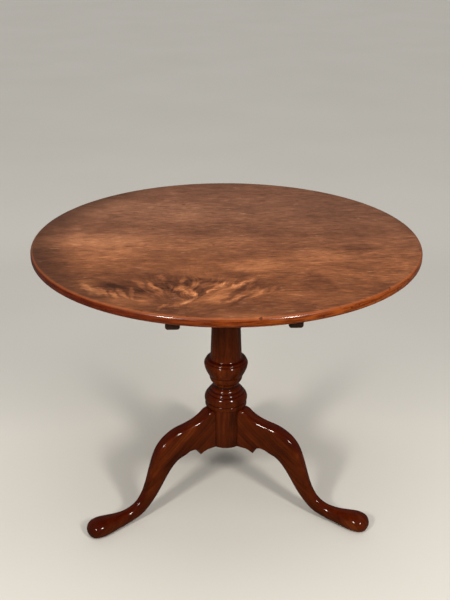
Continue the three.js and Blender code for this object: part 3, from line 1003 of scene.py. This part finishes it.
def between(rows, place):
    """The row at a place along the rows, on a smooth curve through them."""
    index = min(int(place), len(rows) - 2)
    share = place - index
    before, start, end, after = (rows[max(0, min(len(rows) - 1, index + i))] for i in (-1, 0, 1, 2))
    return [
        b + 0.5 * share * (c - a + share * (2 * a - 5 * b + 4 * c - d + share * (3 * (b - c) + d - a)))
        for a, b, c, d in zip(before, start, end, after)
    ]


def add_section(upper, lower, half_width, corner):
    """Adds a square ring with rounded corners to the mesh being edited, strung from upper to lower."""
    bpy.ops.mesh.primitive_circle_add(vertices=4, radius=math.sqrt(2), location=(0, 0, 0))
    bpy.ops.transform.rotate(value=math.radians(45), orient_axis="Z", center_override=(0, 0, 0))
    bpy.ops.mesh.bevel(offset=min(corner, 0.985), segments=8, affect="VERTICES")
    span = upper - lower
    bpy.ops.transform.resize(value=(span.length / 2, half_width, 1), center_override=(0, 0, 0))
    bpy.ops.transform.rotate(value=math.atan2(span.z, span.x), orient_axis="Y", center_override=(0, 0, 0))
    bpy.ops.transform.translate(value=(upper + lower) / 2)


def leg_blank():
    deselect()
    bpy.ops.mesh.primitive_plane_add(size=1)
    edit()
    bpy.ops.mesh.delete(type="VERT")
    last = (len(LEG_STATIONS) - 1) * RINGS_PER_STATION
    for step in range(last + 1):
        station = between(LEG_STATIONS, step / RINGS_PER_STATION)
        upper_x, upper_z, lower_x, lower_z, half_width, corner = station
        add_section(mm(upper_x, 0, upper_z), mm(lower_x, 0, lower_z), half_width * MM, corner)
        bpy.ops.mesh.select_mode(type="EDGE")
        if step in (0, last):
            bpy.ops.mesh.edge_face_add()
        if step:
            bpy.ops.mesh.select_all(action="DESELECT")
            bpy.ops.mesh.select_non_manifold()
            bpy.ops.mesh.bridge_edge_loops()
    face_outward()
    leave_edit()
    return bpy.context.object


def make_legs():
    blank = leg_blank()
    modify(blank, "SUBSURF", levels=1, render_levels=1)
    scallops = [mm(x, -30, z) for x, z in follow(SCALLOP_START, SCALLOP_RUNS)]
    combine(blank, sawn(scallops, mm(0, 60, 0)))
    combine(blank, rod((DRUM_RADIUS + CLEARANCE) * MM, 0.2, mm(0, 0, 200), vertices=128))
    combine(blank, bar(mm(300, -60, -20), mm(450, 60, 0)))
    combine(blank, tongue(0, TONGUE_REACH, DRUM_BOTTOM), "UNION")
    for name, azimuth in LEG_AZIMUTHS.items():
        leg = place_at(copy_of(blank), rotation=(0, 0, math.radians(azimuth)))
        out = Vector((math.cos(math.radians(azimuth)), math.sin(math.radians(azimuth))))

        def under_this_leg(place, out=out):
            return place.xy.length > 30 * MM and place.xy.normalized().dot(out) > 0.9

        combine(leg, screw_holes("plate", under_this_leg))
        hand_in(leg, f"cabriole_{name}", "base", [name], name, smooth=38)
    bpy.data.objects.remove(blank)


# Tie plate

def make_tie_plate():
    corners = []
    for azimuth in LEG_AZIMUTHS.values():
        waist = math.radians(azimuth - 60)
        corners.append((19 * math.cos(waist), 19 * math.sin(waist)))
        arm = Vector((57, 0))
        for i in range(13):
            turn = math.radians(-90 + 15 * i)
            tip = arm + 10 * Vector((math.cos(turn), math.sin(turn)))
            tip.rotate(Euler((0, 0, math.radians(azimuth))).to_matrix().to_2x2())
            corners.append(tuple(tip))
    bottom = PLATE_LOW.z
    plate = sawn([Vector((x * MM, y * MM, bottom)) for x, y in corners], (0, 0, PLATE_HIGH.z - bottom))
    ease(plate, 0.5 * MM, 2, angle=40)
    combine(plate, screw_holes("plate"))
    hand_in(plate, "forged_tie_plate", "base", ["tie_plate"], "iron")


# Catch

KNOB_Y = 112
STEM_RADIUS = 2.4
PIN_RADIUS = 1.5
SPRING_RADIUS = 2.2
WIRE_RADIUS = 0.45
SPRING_TURNS = 6


def make_case():
    front, back = CASE_LOW.y, CASE_HIGH.y
    plate = bar((CASE_LOW.x, front, CASE_HIGH.z - 2.7 * MM), CASE_HIGH)
    ease(plate, 0.5 * MM, 2)
    housing = bar((-10.6 * MM, front, CASE_LOW.z), (10.6 * MM, back, CASE_HIGH.z - 2 * MM))
    ease(housing, 0.9 * MM, 3)
    combine(plate, housing, "UNION")
    combine(plate, bar(mm(-7.6, 96, 679.2), mm(7.6, 147, 686)))
    play = STEM_RADIUS + 0.6
    slot = bar(mm(-play, KNOB_Y - play, 675), mm(play, KNOB_Y + 8 + play, 686))
    edit()
    choose("EDGE", lambda place, run: abs(run.z) > 5 * MM)
    bpy.ops.mesh.bevel(offset=play * 0.98 * MM, segments=5)
    leave_edit()
    combine(plate, slot)
    combine(plate, screw_holes("catch"))
    hand_in(plate, "catch_case_brass", "top", ["catch_case"], "brass")


def make_bolt():
    half = BOLT_HIGH.x
    low, high = BOLT_LOW, BOLT_HIGH
    nose = 3 * MM
    side = [
        (-half, high.y, low.z),
        (-half, high.y, high.z),
        (-half, low.y + nose, high.z),
        (-half, low.y, high.z - nose),
        (-half, low.y, low.z),
    ]
    bolt = sawn([Vector(corner) for corner in side], (2 * half, 0, 0))
    ease(bolt, 0.35 * MM)
    combine(bolt, rod((PIN_RADIUS + CLEARANCE) * MM, 5 * MM, (0, KNOB_Y * MM, low.z + 1.5 * MM)))
    hand_in(bolt, "catch_bolt_brass", "catch_bolt", ["catch_bolt"], "brass")

    top = KNOB_HIGH.z / MM - 3.5
    runs = [
        [(5.2, top - 24), (6.3, top - 21), (6.5, top - 18)],
        [(6.5, top - 14.5), (4.4, top - 13.2), (3.2, top - 12.4)],
        [(3.6, top - 12), (3.6, top - 11.4), (3.2, top - 11)],
        [(STEM_RADIUS, top - 10.6)],
        [(STEM_RADIUS, top)],
        [(PIN_RADIUS, top)],
        [(PIN_RADIUS, top + 3.5)],
        [(0, top + 3.5)],
    ]
    knob = turned([point * MM for point in follow((0, top - 24), runs, 6)], 40)
    place_at(knob, (0, KNOB_Y * MM, 0))
    hand_in(knob, "catch_knob_brass", "catch_bolt", ["catch_knob"], "brass")


def make_spring():
    low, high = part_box("catch_spring")
    height = (low.z + high.z) / 2
    start = low.y + WIRE_RADIUS * MM
    length = high.y - low.y - 2 * WIRE_RADIUS * MM
    deselect()
    bpy.ops.mesh.primitive_circle_add(
        vertices=10, radius=WIRE_RADIUS * MM, location=(SPRING_RADIUS * MM, 0, 0), fill_type="NOTHING")
    spring = settle()
    modify(spring, "SCREW", axis="Y", angle=FULL_TURN * SPRING_TURNS, screw_offset=length,
           steps=24 * SPRING_TURNS, render_steps=24 * SPRING_TURNS, use_merge_vertices=False)
    place_at(spring, (0, start, height))
    edit("EDGE")
    bpy.ops.mesh.select_all(action="DESELECT")
    bpy.ops.mesh.select_non_manifold()
    bpy.ops.mesh.fill_holes(sides=0)
    face_outward()
    leave_edit()
    hand_in(spring, "catch_spring_coil", "top", ["catch_spring"], "spring")
    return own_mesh(spring)


def make_keeper():
    keeper = bar(KEEPER_LOW, KEEPER_HIGH)
    ease(keeper, 0.3 * MM)
    combine(keeper, keeper_window(85 * MM, KEEPER_HIGH.y + MM))
    combine(keeper, screw_holes("keeper"))
    hand_in(keeper, "keeper_brass", "base", ["keeper"], "brass")


# Setting

def make_floor():
    deselect()
    bpy.ops.mesh.primitive_plane_add(size=40)
    floor = bpy.context.object
    floor.name = "floor"
    finish = Finish("pale_floor")
    tone = finish.noise(finish.place, 1.2, 2.0)
    body = finish.mix(tone, colour(196, 192, 184), colour(204, 200, 193))
    floor.data.materials.append(finish.surface(Base_Color=body, Roughness=0.8, Specular_IOR_Level=0.1))
    floor.visible_glossy = False


LAMP_SIZE = (0.38, 0.50)
LAMP_POWER = 23
LAMP_SPREAD = math.radians(120)
LAMP_TINT = (1.0, 0.96, 0.90)
LAMP_TARGET = Vector((0, 0, 0.35))


def add_light(kind, name, energy):
    light = bpy.data.objects.new(name, bpy.data.lights.new(name, kind))
    light.data.energy = energy
    bpy.context.scene.collection.objects.link(light)
    return light


def add_lamp(name, place):
    """A soft warm lamp that shines on the stand and shows in the polish."""
    lamp = add_light("AREA", name, LAMP_POWER)
    lamp.data.shape = "RECTANGLE"
    lamp.data.size, lamp.data.size_y = LAMP_SIZE
    lamp.data.spread = LAMP_SPREAD
    lamp.data.color = LAMP_TINT
    lamp.location = place
    lamp.rotation_euler = (LAMP_TARGET - Vector(place)).to_track_quat("-Z", "Y").to_euler()


def add_wide_light(name, energy, width, turn):
    """Even light from a broad part of the room, which doesn't show in the polish. Angles are in degrees."""
    light = add_light("SUN", name, energy)
    light.data.angle = math.radians(width)
    light.rotation_euler = [math.radians(angle) for angle in turn]
    light.visible_glossy = False


def make_lights():
    add_wide_light("ceiling", 1.7, 70, (12, 4, 0))
    add_wide_light("fill_from_behind", 0.9, 90, (-62, 0, 0))
    add_lamp("lamp_left", (-1.5, -2.2, 2.0))
    add_lamp("lamp_right", (1.35, -2.2, 2.0))


def make_world():
    """A dim room lights the table. The paler wall only shows as the backdrop."""
    world = bpy.data.worlds.new("soft_room")
    nodes = Nodes(world)
    room = nodes.node("Background", None, {"Color": colour(214, 212, 204), "Strength": 0.16})
    wall = nodes.node("Background", None, {"Color": colour(186, 183, 175)})
    seen = nodes.node("LightPath", output="Is Camera Ray")
    either = nodes.node("MixShader", None, {0: seen, 1: room, 2: wall})
    nodes.node("OutputWorld", None, {"Surface": either})
    bpy.context.scene.world = world
    bpy.context.scene.view_settings.view_transform = "Standard"


CAMERA_TURN = math.radians(-2.4)
CAMERA_PITCH = math.radians(23.85)
CAMERA_ROLL = math.radians(0.166)
CAMERA_PLACE = Vector((-0.003, -2.0163, 1.4392))
LENS = 54.12


def make_camera():
    data = bpy.data.cameras.new("camera")
    data.lens = LENS
    data.sensor_width = 36
    camera = bpy.data.objects.new("camera", data)
    bpy.context.scene.collection.objects.link(camera)
    around = Euler((0, 0, CAMERA_TURN)).to_matrix()
    camera.location = around @ CAMERA_PLACE
    aim = Euler((math.pi / 2 - CAMERA_PITCH, 0, 0)).to_matrix()
    roll = Euler((0, 0, CAMERA_ROLL)).to_matrix()
    camera.rotation_euler = (around @ aim @ roll).to_euler()
    bpy.context.scene.camera = camera


make_camera()
make_lights()
make_world()
make_floor()
make_board()
for side in BEARERS:
    make_bearer(side)
make_block()
make_wedges()
make_pillar()
make_legs()
make_tie_plate()
make_case()
make_bolt()
make_spring()
make_keeper()
make_screws()
